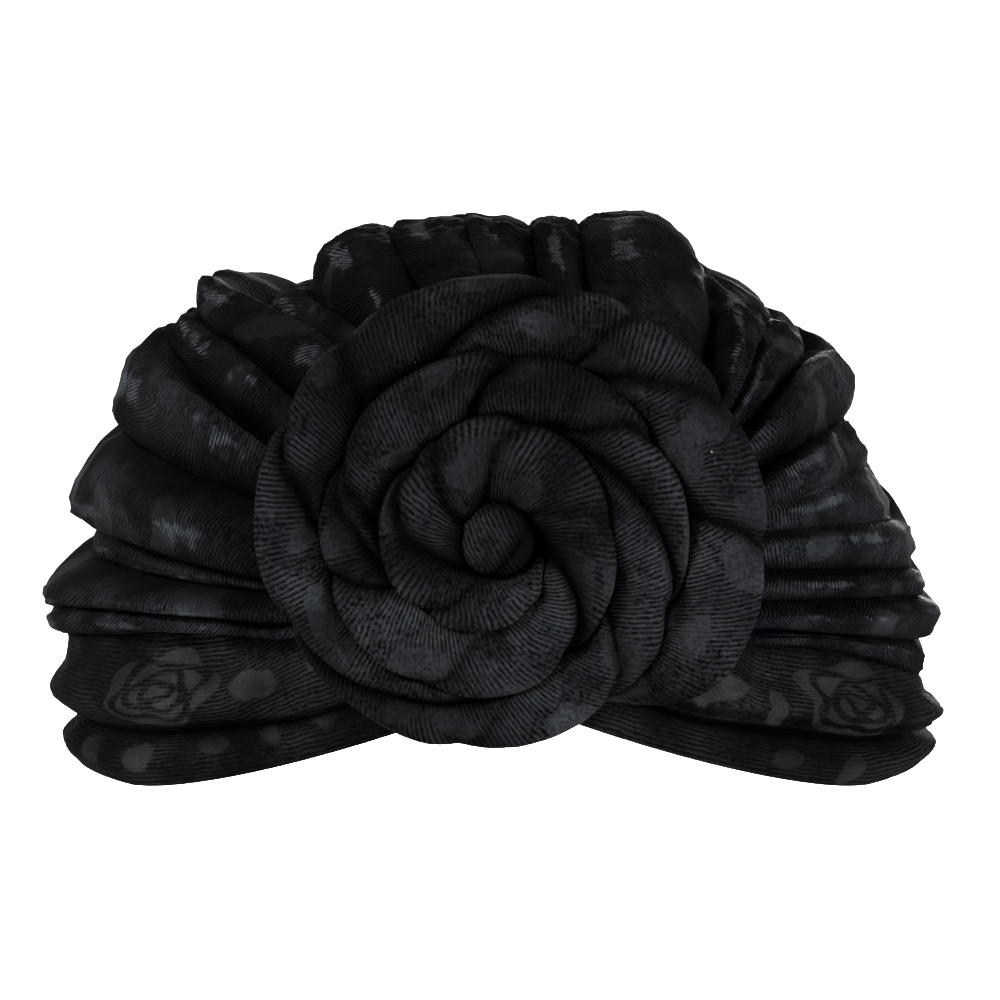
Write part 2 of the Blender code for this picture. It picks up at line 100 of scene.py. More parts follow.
# One row for each fold: its name, the line of its ridge and that of the crease after it. As in the
# solids but for a few creases that are fainter or deeper here.
FOLDS = (
    ("left_roll", 83.4, 1.082, 72.8, -0.02, 0.55, 84.5, 1.055, 75.2, -0.02, 0.5),
    ("left_thick", 86.2, 1.088, 79.5, 0.0, 0.9, 90.6, 0.95, 83.0, 0.01, 1.0),
    ("left_hollow", 93.3, 0.96, 84.6, 0.02, 0.0, 95.7, 0.952, 86.5, 0.02, 0.7),
    ("left_point", 98.4, 1.034, 95.5, -0.03, 0.9, 110.0, 0.948, 106.0, 0.02, 1.1),
    ("left_broad", 118.5, 1.004, 116.0, -0.02, 0.95, 125.0, 0.966, 117.5, 0.03, 1.0),
    ("left_steep", 128.0, 0.95, 127.3, -0.02, 0.75, 130.0, 0.915, 130.0, 0.0, 1.0),
    ("left_peak", 133.6, 0.968, 153.0, 0.0, 0.8, 137.6, 0.82, 155.0, 0.0, 1.0),
    ("left_low", 143.0, 0.805, 156.5, 0.0, 0.15, 146.9, 0.775, 158.0, 0.0, 0.9),
    ("top_tall", 155.0, 0.868, 159.5, 0.0, 0.75, 161.5, 0.838, 172.0, 0.0, 1.0),
    ("top_dome", 168.5, 0.822, 181.0, 0.0, 0.6, 174.0, 0.818, 186.0, 0.0, -0.9),
    ("top_middle", 179.5, 0.823, 191.0, 0.0, 0.5, 185.4, 0.79, 196.0, 0.0, 0.8),
    ("top_narrow", 189.5, 0.828, 204.0, 0.0, 0.5, 193.3, 0.818, 209.0, 0.0, 0.8),
    ("top_sausage", 202.5, 0.89, 220.0, 0.0, 0.85, 212.0, 0.842, 237.0, -0.05, 1.0),
    ("right_shoulder", 220.5, 0.874, 241.0, -0.02, 0.75, 226.5, 0.864, 243.0, 0.0, 0.1),
    ("right_slope", 230.0, 0.876, 244.6, 0.0, 0.3, 234.8, 0.846, 246.0, 0.0, 1.2),
    ("right_peak", 238.4, 0.950, 247.3, 0.02, 1.1, 246.2, 0.880, 251.0, 0.0, 1.5),
    ("right_lip", 250.4, 0.892, 256.5, 0.0, 0.45, 254.5, 0.895, 259.5, 0.0, 0.0),
    ("right_low", 259.8, 0.926, 261.0, 0.0, 0.35, 263.6, 0.932, 261.8, 0.0, 0.25),
    ("right_bright", 267.4, 0.992, 263.6, 0.0, 0.75, 270.8, 0.972, 271.0, 0.0, 0.7),
    ("right_second", 272.7, 1.004, 275.0, 0.0, 0.55, 274.6, 0.978, 279.0, 0.0, 0.7),
    ("right_point", 276.5, 1.066, 282.5, 0.0, 0.8, 280.6, 0.996, 285.5, 0.0, 0.6),
    ("right_roll", 283.0, 1.026, 288.3, 0.04, 0.6),
)

# The headband. Heights are shares of its height.
BAND_RADIUS = 0.106  # for measuring round the band
HEM_CREASE_HEIGHT = 0.34
HEM_CREASE_WIDTH = 0.035
HEM_CREASE_PINCH = 0.0032  # how much deeper the crease is than in the solids
CORD_HEIGHT = 0.40  # the thin roll above the crease
CORD_WIDTH = 0.028
CORD_STAND = 0.0016
LEFT_CORD_STAND = 0.0006
CORD_SLANT = 0.8  # how steeply the ribs cross it
BAND_SHADE_WIDTH = 0.05  # how wide the painted shade is at the crease and under the seam
BAND_LUMP = 0.0004
BAND_SWELL = 0.0006
HEM_SHADE = 0.25  # how much darker the hem is than the panel

# Its profile from the rim up to the seam: heights and how far it stands out there.
BAND_PROFILE = {
    "rim": (0.00, 0.0),
    "hem_roll": (0.16, HEM_STAND),
    "hem_crease": (HEM_CREASE_HEIGHT, -CREASE_SINK),
    "panel_bulge": (0.52, PANEL_STAND),
    "panel_waist": (0.78, HEM_STAND / 3),
    "seam": (1.00, 0.0),
}

# The rope's outer edge at each quarter turn of the spiral from FIRST_QUARTER on, as a share of the
# rosette's radius. The outer turn is drawn in a little compared with the solids.
FIRST_QUARTER = -2
SPIRAL = (0.155, 0.15, 0.13, 0.13, 0.155, 0.19, 0.31, 0.44, 0.475, 0.455, 0.575, 0.665, 0.710,
          0.74, 0.780, 0.905, 0.988, 1.04, 0.99)
ROPE_START_QUARTER = 3.15
ROPE_END_QUARTER = 15.66
TAIL_START_QUARTER = 15.30  # where the tail starts to slip in behind the turn before it
TAIL_END_QUARTER = 15.68

# Creases of the twist across the rope's front: clock angle along the spiral where each starts at
# the inner edge and ends at the outer edge, and how deep it is.
TWIST_COLUMNS = ("inner_deg", "outer_deg", "depth")
TWISTS = [dict(zip(TWIST_COLUMNS, row)) for row in (
    (380, 410, 0.5), (400, 495, 1.0), (480, 512, 0.6), (525, 555, 0.6), (590, 622, 0.3),
    (635, 690, 1.0), (720, 752, 0.3), (785, 800, 0.7), (798, 838, 0.7), (818, 840, 0.6),
    (890, 905, 1.0), (930, 958, 0.7), (945, 1013, 1.0), (1020, 1045, 0.6), (1070, 1092, 0.3),
    (1088, 1148, 1.0), (1174, 1200, 0.8), (1215, 1223, 0.6), (1242, 1275, 1.0),
    (1285, 1293, 0.6), (1295, 1320, 0.8), (1342, 1352, 0.7),
)]
TWIST_DEPTH = 0.0078
PLY_EDGE = 0.0032  # how wide the rounded edge of a ply of the twist is
PLY_LENGTH = 0.0105  # how slowly a ply sinks towards the next one
PLY_LINE = 0.0013  # how wide the painted shade line along a crease is
EDGE_NOTCH = 0.0019  # how far the rope's outer edge draws in at a crease
NOTCH_WIDTH = 0.0075
NOTCH_OFFSET = 0.10  # how far the edge stands out between the notches, for the same size
LEAST_REACH = 0.012  # the creases are measured as if nothing were nearer to the middle
USUAL_WIDTH = 0.016  # the rope's usual width
TIP_LENGTH = 0.011  # how far from its ends the rope starts to narrow
TIP_STUB = 0.0003
TURN_OVERLAP = 0.0004  # how far each side of a turn goes in under the next one
ROPE_LUMP = 0.0008
BUD_LUMP = 0.0005
ROPE_CLEARANCE = 0.0011  # room between the wrap and what rests on it
BUD_CLEARANCE = 0.0005
REST_SPREAD = 8  # rings over which the room behind the rope is evened out
BUD_CREASE = (0.80, -0.60)  # direction of the bud's crease, across it
BUD_CREASE_PLACE = 0.0038
BUD_CREASE_DEPTH = 0.0030
BUD_CREASE_WIDTH = 0.0013
BUD_LINE = 0.0012  # how wide the painted shade line along its crease is
GROOVE_FILL = 0.50  # how much shallower the grooves between the turns are
PLY_SLANTS = (0.30, -0.20, 0.45, 0.05, -0.35, 0.25, -0.10, 0.50, 0.15, -0.30)
PLY_TONES = (1.0, 0.75, 1.0, 0.62, 0.9, 0.7, 1.0, 0.8, 0.95, 0.68)
FOLD_TONES = (1.0, 0.85, 0.6, 0.95, 1.0, 0.6, 0.8, 0.95, 0.55, 0.7, 0.6)

# Motifs of the headband: kind, place along the band from the brow (left is negative) and up from
# the rim, half sizes and turn.
MOTIF_COLUMNS = ("kind", "along", "up", "half_length", "half_height", "turn_deg")
MOTIFS = [dict(zip(MOTIF_COLUMNS, row)) for row in (
    ("rose", -0.0915, 0.0318, 0.0185, 0.0108, 0),
    ("oval", -0.0630, 0.0285, 0.0066, 0.0036, -26),
    ("leaf", -0.0465, 0.0300, 0.0062, 0.0036, 70),
    ("leaf", -0.0740, 0.0105, 0.0068, 0.0030, -8),
    ("oval", -0.0980, 0.0085, 0.0052, 0.0042, 0),
    ("oval", -0.0585, 0.0100, 0.0042, 0.0021, -48),
    ("oval", -0.0440, 0.0100, 0.0044, 0.0026, -22),
    ("leaf", -0.1220, 0.0080, 0.0070, 0.0034, -20),
    ("rose", 0.0985, 0.0300, 0.0200, 0.0112, 0),
    ("leaf", 0.0520, 0.0275, 0.0090, 0.0048, 80),
    ("leaf", 0.0560, 0.0255, 0.0080, 0.0036, 15),
    ("oval", 0.0700, 0.0255, 0.0027, 0.0052, 0),
    ("oval", 0.073, 0.0060, 0.0050, 0.0024, 0),
    ("leaf", 0.095, 0.0050, 0.0065, 0.0030, 25),
    ("rose", 0.170, 0.0175, 0.0160, 0.0085, 0),
    ("rose", -0.172, 0.0190, 0.0160, 0.0088, 0),
    ("oval", 0.140, 0.0150, 0.0055, 0.0038, 20),
    ("leaf", -0.141, 0.0200, 0.0080, 0.0038, 50),
)]
MOTIF_REACH = 0.187  # how far round the motifs above go on each side
MOTIF_REPEAT = 0.1365  # their repeat round the back of the headband
MOTIF_SHARE = 0.85  # share of the cells of the crown and the rope that have a motif
CROWN_MOTIF_CELL = 0.034
ROPE_MOTIF_CELL = 0.021
FAR_OUTSIDE = 1.0  # distance outside a motif where there is none
NO_ROSE = 9.0  # place in a rose where there is none
BUD_MOTIF = 0.01  # the bud has no motif

# Colours of the velvet, from its shadow to its lit ribs
BLACK = (0.0003, 0.0004, 0.0005)
CROWN_SHEEN = (0.0118, 0.0131, 0.0146)
BAND_SHEEN = (0.0073, 0.0079, 0.0085)
ROPE_SHEEN = (0.0122, 0.0134, 0.0147)
HIGHLIGHT_LIGHT = 0.80  # how bright the painted highlight streaks are along the crown's ridges
RIB_IN_PATTERN = 0.25  # how much of the ribs is left where the pattern is burnt out
RIB_LIGHT = 0.50  # how bright the ribs are
GROUND_LIGHT = 0.07  # how bright the ground between them is
LINT = (0.05, 0.05, 0.05)
LINT_SCALE = 95
LINT_SIZE = 0.022
LINT_SHARE = 0.9  # share of the cells that have no lint
BUMP_HEIGHT = 0.00028
VELVET_SPECULAR = 0.002
# Noise that the velvet uses: scale, detail and offset
NAP, BROAD_NAP, FINE_PILE = (46, 4, 1.0), (17, 2, 8.0), (1100, 2, 2.0)
RIB_WAVER, RIB_JITTER, RIB_WEAR = (190, 3, 3.0), (500, 1, 7.0), (110, 3, 9.0)
ROSE_BEND_U, ROSE_BEND_V, HIGHLIGHT_RAGS = (120, 1, 5.0), (120, 1, 6.0), (330, 4, 6.0)
# Lines of pile between a rose's petals: distance from its middle, petals and turn
ROSE_LINES = ((0.24, 3.0, 0.4), (0.48, 3.0, 2.1), (0.74, 4.0, 4.0))

# Studio
FLOOR_HEIGHT = -0.20
FLOOR_COLOUR = (0.95, 0.95, 0.95, 1.0)
FLOOR_RADIUS = 2.6
COVE_RADIUS = 1.0
BACKDROP_HEIGHT = 3.2
CAMERA_LENS = 193.0
CAMERA_DISTANCE = 1.35
CAMERA_AZIMUTH_DEG = 0.0
CAMERA_ELEVATION_DEG = 6.0
CAMERA_TARGET = (0.0, 0.0, 0.0633)
WORLD_STRENGTH = 1.0
LIGHT_TARGET = (0, 0, 0.07)
LIGHTS = (
    ("key", (-1.20, -1.30, 1.15), 0.40, 160.0),
    ("side", (1.6, -0.9, 0.3), 0.8, 152.0),
    ("back_key", (0.2, 1.75, 0.1), 0.6, 70.0),
    ("back_side", (-1.6, 0.9, 0.25), 0.7, 50.0),
)


def smooth(x, low, high):
    """0 below low, 1 above high, and a smooth step between them."""
    u = np.clip((np.asarray(x, float) - low) / (high - low), 0.0, 1.0)
    return u * u * (3.0 - 2.0 * u)


def clock(degrees):
    """Unit direction in the X-Z plane of a clock angle."""
    a = np.radians(degrees)
    return np.stack([-np.sin(a), -np.cos(a)], -1)


def cubic(x, knots, values):
    """Cubic curve through the knots, with slopes from their neighbours."""
    knots, values = np.asarray(knots, float), np.asarray(values, float)
    slopes = np.gradient(values, knots)
    i = np.clip(np.searchsorted(knots, x, side="right") - 1, 0, len(knots) - 2)
    step = knots[i + 1] - knots[i]
    u = (x - knots[i]) / step
    return ((1 + 2 * u) * (1 - u) ** 2 * values[i] + u * (1 - u) ** 2 * step * slopes[i]
            + u * u * (3 - 2 * u) * values[i + 1] + u * u * (u - 1) * step * slopes[i + 1])


def wander(x, seed, octaves=3):
    """A smooth random curve of one value, about -1 to 1, that changes over about one unit."""
    draws = np.random.default_rng(seed)
    total = np.zeros_like(np.asarray(x, float))
    for octave in range(octaves):
        turn, phase = draws.uniform(0.7, 1.3), draws.uniform(0, 2 * np.pi)
        total += np.sin(np.asarray(x) * 2 ** octave * turn * 2.2 + phase) / 1.6 ** octave
    return total / 1.8


def wander2(x, y, seed, octaves=4):
    """A smooth random surface of two values, about -1 to 1, that changes over about one unit."""
    draws = np.random.default_rng(seed)
    total = 0.0
    for octave in range(octaves):
        for _ in range(3):
            angle, phase = draws.uniform(0, 2 * np.pi, 2)
            wave = np.cos(angle) * x + np.sin(angle) * y
            total = total + np.sin(wave * 2.1 * 1.9 ** octave + phase) / (3 * 1.5 ** octave)
    return total


def fold_noise(column, along, per_fold, per_metre, seed):
    """A random surface over the crown, which changes at its own rates across and along a fold."""
    return wander2(column * per_fold, along * per_metre, seed)


def smooth_reach(degrees):
    """Reach of the crown's smooth outline from the gather line, at a clock angle."""
    direction = np.abs(clock(degrees))
    x = direction[..., 0] / CROWN_HALF_WIDTH
    z = direction[..., 1] / CROWN_HALF_HEIGHT
    return (x ** CROWN_SQUARENESS + z ** CROWN_SQUARENESS) ** (-1.0 / CROWN_SQUARENESS)


def gather_height(t_deg):
    """Height of the line that the folds fan out from: t is 0 at the brow, 180 at the nape."""
    t = math.radians(t_deg)
    end = GATHER_FRONT_HEIGHT if t_deg < 90 else GATHER_BACK_HEIGHT
    return GATHER_MIDDLE_HEIGHT + (end - GATHER_MIDDLE_HEIGHT) * abs(math.cos(t))


def depth_at(t_deg):
    """Y of the crown's section at angle t."""
    depth = FRONT_DEPTH if t_deg < 90 else BACK_DEPTH
    return -depth * math.cos(math.radians(t_deg))


def side_share(t_deg):
    """0 where the folds leave the rosette, 1 at the sides."""
    low = math.sin(math.radians(STRAIGHT_TO_DEG))
    return float(np.clip((math.sin(math.radians(t_deg)) - low) / (1 - low), 0, 1))


def fold_lines():
    """Crease and ridge lines in turn, from the left seam to the right seam."""
    lines = [dict(zip(LINE_COLUMNS, LEFT_SEAM))]
    for _, *row in FOLDS:
        lines.append(dict(zip(LINE_COLUMNS, row[:len(LINE_COLUMNS)])))
        if len(row) > len(LINE_COLUMNS):
            lines.append(dict(zip(LINE_COLUMNS, row[len(LINE_COLUMNS):])))
    lines.append(dict(zip(LINE_COLUMNS, RIGHT_SEAM)))
    for i, line in enumerate(lines):
        line["rise"] *= FOLD_RISE if i % 2 else -FOLD_SINK
    first, last = lines[0]["side_deg"], lines[-1]["side_deg"]
    for i, line in enumerate(lines):
        line["nape_deg"] = first + (last - first) * i / (len(lines) - 1)
    return lines


def smooth_normals(points, t_deg):
    """Outward directions of the smooth crown at points of one section."""
    depth = FRONT_DEPTH if t_deg < 90 else BACK_DEPTH
    gradient = points / np.array([CROWN_HALF_WIDTH, depth, CROWN_HALF_HEIGHT]) ** 2
    gradient[..., 2] -= gather_height(t_deg) / CROWN_HALF_HEIGHT ** 2
    return gradient / np.linalg.norm(gradient, axis=-1, keepdims=True)


def front_angle(line, share):
    """Clock angle of a line between the rosette and the sides, nearly straight from the front."""
    start = clock(line["brow_deg"]) * smooth_reach(line["brow_deg"])
    start = start * math.sin(math.radians(STRAIGHT_TO_DEG))
    end = clock(line["side_deg"]) * smooth_reach(line["side_deg"])
    middle = start + (end - start) * share
    across = clock(line["side_deg"] - 90)
    middle = middle + across * (4 * share * (1 - share) * line["bow"] * CROWN_HALF_WIDTH)
    return math.degrees(math.atan2(-middle[0], -middle[1])) % 360


def line_point(line, t_deg):
    """A crease or ridge line where it crosses the section at angle t, and the crown's normal."""
    share = side_share(t_deg)
    side_rise = line["reach"] * CROWN_HALF_WIDTH - float(smooth_reach(line["side_deg"]))
    if t_deg <= 90:
        degrees = front_angle(line, share)
        rise = line["rise"] + (side_rise - line["rise"]) * smooth(share, 0.35, 1.0)
        rise *= smooth(t_deg, 22.0, RING_DEG)
    else:
        back = smooth(t_deg, 90.0, 150.0)
        degrees = line["side_deg"] + (line["nape_deg"] - line["side_deg"]) * back
        rise = side_rise * (1 - back) + line["rise"] * BACK_FOLD_SHARE * back
        rise *= 1 - smooth(t_deg, 140.0, 178.0)
    out = clock(degrees) * smooth_reach(degrees) * math.sin(math.radians(t_deg))
    point = np.array([out[0], depth_at(t_deg), gather_height(t_deg) + out[1]])
    normal = smooth_normals(point, t_deg)
    return point + normal * rise, normal


def seam_normal(line, t_deg):
    """Level direction of the cloth's thickness along the seam."""
    _, normal = line_point(line, t_deg)
    level = np.array([normal[0], normal[1], 0.0])
    return level / np.linalg.norm(level)


def crown_section(lines, t_deg):
    """Points across all the folds at angle t, and where each lies: its flank's number plus its
    share of the way across the flank."""
    stations = [line_point(line, t_deg) for line in lines]
    points, flanks = [], []
    steps = np.arange(STEPS_PER_FLANK) / STEPS_PER_FLANK
    for i in range(len(stations) - 1):
        (here, normal), (there, _) = stations[i], stations[i + 1]
        from_crease = i % 2 == 0
        low, high = (here, there) if from_crease else (there, here)
        up = normal * np.dot(high - low, normal)
        along = (high - low) - up
        u = steps if from_crease else 1 - steps
        sideways = u - FLANK_LEAN * np.sin(np.pi * u)
        power = OTHER_FLANK
        if i < LEFT_FLANKS:
            power = ROUND_FLANK if from_crease else OPEN_FLANK
        rise = np.sin(u * np.pi / 2) ** power
        points.append(low + along * sideways[:, None] + up * rise[:, None])
        flanks.append(i + steps)
    points.append(stations[-1][0][None])
    flanks.append(np.array([len(stations) - 2.0]))
    return np.vstack(points), np.concatenate(flanks)


def crown_angles():
    """Angles of the crown's sections, closest where the folds show from the front."""
    return np.concatenate([np.linspace(6, 27, 6), np.linspace(30, 100, 72),
                           np.linspace(101.6, 176.0, 50)])


def path_lengths(grid, axis, weights=None):
    """Distance along one direction of a grid of points, from its first row or column."""
    steps = np.linalg.norm(np.diff(grid, axis=axis), axis=-1)
    if weights is not None:
        steps = steps * weights[1:]
    zero = np.zeros_like(np.take(steps, [0], axis=axis))
    return np.cumsum(np.concatenate([zero, steps], axis=axis), axis=axis)


def grid_faces(rows, columns):
    """Quads between neighbouring rows and columns of a grid of points."""
    starts = [i * columns + j for i in range(rows - 1) for j in range(columns - 1)]
    return [(a, a + 1, a + columns + 1, a + columns) for a in starts]


def thickened(points, faces, outward):
    """A closed wall of cloth behind an open outer surface, laid along the given directions."""
    count = len(points)
    walls = faces + [tuple(count + i for i in reversed(f)) for f in faces]
    edges = {(a, b) for f in faces for a, b in zip(f, f[1:] + f[:1])}
    walls += [(b, a, count + a, count + b) for a, b in sorted(edges) if (b, a) not in edges]
    return np.vstack([points, points - outward * CLOTH]), walls


def add_object(name, data):
    obj = bpy.data.objects.new(name, data)
    bpy.context.scene.collection.objects.link(obj)
    return obj


def new_piece(name, points, faces, material, **values):
    """A smooth mesh with the given values at its points, for its material to read. Values repeat
    where there are more points, as on the inner side of a wall of cloth."""
    mesh = bpy.data.meshes.new(name)
    mesh.from_pydata(points.tolist(), [], faces)
    mesh.materials.append(material)
    mesh.shade_smooth()
    for key, numbers in values.items():
        attribute = mesh.attributes.new(key, "FLOAT", "POINT")
        numbers = np.resize(np.asarray(numbers, np.float32), len(points))
        attribute.data.foreach_set("value", numbers)
    return add_object(name, mesh)


def turned(u, v, angle):
    """A place as seen from axes turned by an angle in radians."""
    return u * np.cos(angle) + v * np.sin(angle), -u * np.sin(angle) + v * np.cos(angle)


def ellipse(x, y, length, width):
    """About the distance outside an ellipse, below 0 inside it."""
    return (np.hypot(x / length, y / width) - 1) * np.minimum(length, width)


def leaf(x, y, length, width):
    """About the distance outside a pointed leaf, below 0 inside it."""
    lens = (length ** 2 - width ** 2) / (2 * width)
    return np.hypot(x, np.abs(y) + lens) - (lens + width)


def scattered(u, v, cell, seed):
    """A field of small leaves and ovals, one in most cells of a jittered grid."""
    best = np.full(u.shape, FAR_OUTSIDE)
    i, j = np.floor(u / cell).astype(int), np.floor(v / cell).astype(int)
    for di in (-1, 0, 1):
        for dj in (-1, 0, 1):
            ci, cj = i + di, j + dj
            key = (ci * 73856093) ^ (cj * 19349663) ^ (seed * 83492791)

            def draw(salt):
                mixed = (key ^ (salt * 2654435761)) & 0x7FFFFFFF
                mixed = (mixed * 1103515245 + 12345) & 0x7FFFFFFF
                mixed = ((mixed >> 7) ^ mixed) * 69621 & 0x7FFFFFFF
                return mixed / 0x7FFFFFFF

            x = u - (ci + 0.2 + 0.6 * draw(1)) * cell
            y = v - (cj + 0.2 + 0.6 * draw(2)) * cell
            x, y = turned(x, y, draw(3) * np.pi)
            long = cell * (0.24 + 0.16 * draw(4))
            wide = long * (0.42 + 0.3 * draw(5))
            shape = np.where(draw(6) < 0.5, ellipse(x, y, long, wide), leaf(x, y, long, wide))
            best = np.minimum(best, np.where(draw(7) < MOTIF_SHARE, shape, FAR_OUTSIDE))
    return best


def make_crown(material):
    """The gathered crown, as one wall of cloth with small pleats and ripples on its folds, with
    painted shade in its creases and on its top and painted highlight streaks near its ridges.
    """
    lines = fold_lines()
    angles = crown_angles()
    found = [crown_section(lines, t) for t in angles]
    grid = np.stack([points for points, _ in found])
    flank = np.stack([flanks for _, flanks in found])
    outward = np.stack([smooth_normals(points, t) for (points, _), t in zip(found, angles)])
    for row, t in enumerate(angles):
        outward[row, 0] = seam_normal(lines[0], t)
        outward[row, -1] = seam_normal(lines[-1], t)
    along, across = path_lengths(grid, 0), path_lengths(grid, 1)
    across = across - across[:, across.shape[1] // 2][:, None]
    start = np.hypot(grid[0, :, 0], grid[0, :, 2] - gather_height(angles[0]))
    along = along + start[None]
    edge = np.minimum(np.arange(grid.shape[1]), np.arange(grid.shape[1])[::-1])
    free = smooth(edge, 0, 5)[None] * smooth(angles, 24, 36)[:, None]
    column = np.arange(grid.shape[1])[None] / STEPS_PER_FLANK
    near = 1 - smooth(angles, 50, 85)[:, None] * 0.65
    near *= 1 - 0.4 * smooth(angles, 95, 120)[:, None]
    near_top = smooth(grid[..., 2], 0.07, 0.12)
    move = PLEAT_HEIGHT * near * fold_noise(column, along, *PLEAT_NOISE)
    move += RIPPLE_HEIGHT * (0.4 + 0.8 * near_top) * fold_noise(column, along, *RIPPLE_NOISE)
    move += CRUMPLE_HEIGHT * fold_noise(column, along, *CRUMPLE_NOISE)
    grid = grid + outward * (move * free)[..., None]
    rows, columns = grid.shape[:2]
    brow = [0.0, depth_at(0.0), gather_height(0.0)]
    nape = [0.0, depth_at(180.0), gather_height(180.0)]
    points = np.vstack([grid.reshape(-1, 3), [brow], [nape]])
    normals = np.vstack([outward.reshape(-1, 3), [(0, -1, 0)], [(0, 1, 0)]])
    faces = grid_faces(rows, columns)
    first, last = rows * columns, rows * columns + 1
    faces += [(first, j + 1, j) for j in range(columns - 1)]
    end = (rows - 1) * columns
    faces += [(last, end + j, end + j + 1) for j in range(columns - 1)]
    closed, walls = thickened(points, faces, normals)
    fold = (np.arange(columns) // (2 * STEPS_PER_FLANK))[None]
    slant = 0.42 * np.sin(fold * 2.3 + 0.6) + 0.25 * np.sin(along * 40)
    slant = np.where(fold == 0, 0.9, slant)
    ridge = np.minimum((2 * fold[0] + 1) * STEPS_PER_FLANK, columns - 1)
    turn = np.radians(RIB_TURN_DEG) * smooth(angles, 38, 70)[:, None]
    turn = turn * (1 - smooth(angles, 100, 125)[:, None])
    drift = (across - across[:, ridge]) * (slant * np.cos(turn) + np.sin(turn))
    rib = start[None] + path_lengths(grid, 0, np.cos(turn)) + drift
    rib = np.concatenate([rib.ravel(), [0.0, float(rib[-1].mean())]])
    motif = scattered(across * 0.9, along, CROWN_MOTIF_CELL, 5)
    motif = np.concatenate([motif.ravel(), [FAR_OUTSIDE, FAR_OUTSIDE]])
    share = flank - 2 * np.floor(flank / 2)
    share = np.minimum(share, 2 - share)
    number = np.floor(flank).astype(int)
    # Painted shade: darker from the ridges down into the sunk creases, and darker on the top of
    # the crown; each fold also has its own tone
    sinks = np.array([max(0.0, -line["rise"] / FOLD_SINK) for line in lines])
    shadow = np.minimum(1, sinks[np.minimum(number + number % 2, len(lines) - 1)]) ** 0.6
    crest = 1 - (1 - share ** 1.4) * shadow
    crest = crest * (1 - TOP_SHADE * smooth(grid[..., 2], 0.085, 0.13))
    crest = crest * np.array(FOLD_TONES)[fold % len(FOLD_TONES)]
    # Painted highlight streaks near the ridges, weaker on the far side of each ridge, broken up by
    # noise
    satin = np.exp(-((share - HIGHLIGHT_PLACE) / HIGHLIGHT_WIDTH) ** 2) * smooth(angles, 30, 42)[:, None]
    satin = satin * np.where(number % 2 == 0, 1.0, HIGHLIGHT_BELOW)
    satin = satin * smooth(fold_noise(column, along, *HIGHLIGHT_NOISE), -0.25, 0.45)
    satin = np.concatenate([satin.ravel(), [0.0, 0.0]])
    crest = np.concatenate([crest.ravel(), [0.0, 0.0]])
    return new_piece("crown_cloth", closed, walls, material, rib=rib, motif=motif, crest=crest,
                     satin=satin)


def rim_height(t_deg):
    """Height of the rim, which arches over the brow and the nape."""
    front = max(0.0, 1 - t_deg / ARCH_SPAN_DEG)
    back = max(0.0, 1 - (180 - t_deg) / ARCH_SPAN_DEG)
    return FRONT_ARCH * front ** 1.5 + BACK_ARCH * back ** 1.5


def band_column(line, side, t_deg, heights):
    """Points of the headband from the rim up to the seam, at angle t on one side."""
    t = math.radians(t_deg)
    rim = np.array([side * BAND_HALF_WIDTH * math.sin(t), depth_at(t_deg), rim_height(t_deg)])
    if t_deg < 1e-6 or t_deg > 180 - 1e-6:
        top = np.array([0.0, depth_at(t_deg), gather_height(t_deg)])
        out = np.array([0.0, -1.0 if t_deg < 90 else 1.0, 0.0])
    else:
        top, _ = line_point(line, t_deg)
        out = seam_normal(line, t_deg)
    top = top - SEAM_GAP * (top - rim) / np.linalg.norm(top - rim)
    flatter = 1 - 0.5 * smooth(t_deg, 100.0, 150.0)
    relief = smooth(t_deg, 24.0, RING_DEG + 6) * flatter
    knots, stands = zip(*BAND_PROFILE.values())
    stand = relief * cubic(heights, knots, stands)
    forward = smooth(t_deg, 9.0, 24.0) * flatter
    from_crease = np.abs(heights - HEM_CREASE_HEIGHT)
    stand -= forward * HEM_CREASE_PINCH * np.exp(-from_crease / HEM_CREASE_WIDTH)
    cord = np.exp(-((heights - CORD_HEIGHT) / CORD_WIDTH) ** 2)
    stand += forward * (cord * (CORD_STAND if side > 0 else LEFT_CORD_STAND))
    return rim + (top - rim) * heights[:, None] + out * stand[:, None], out


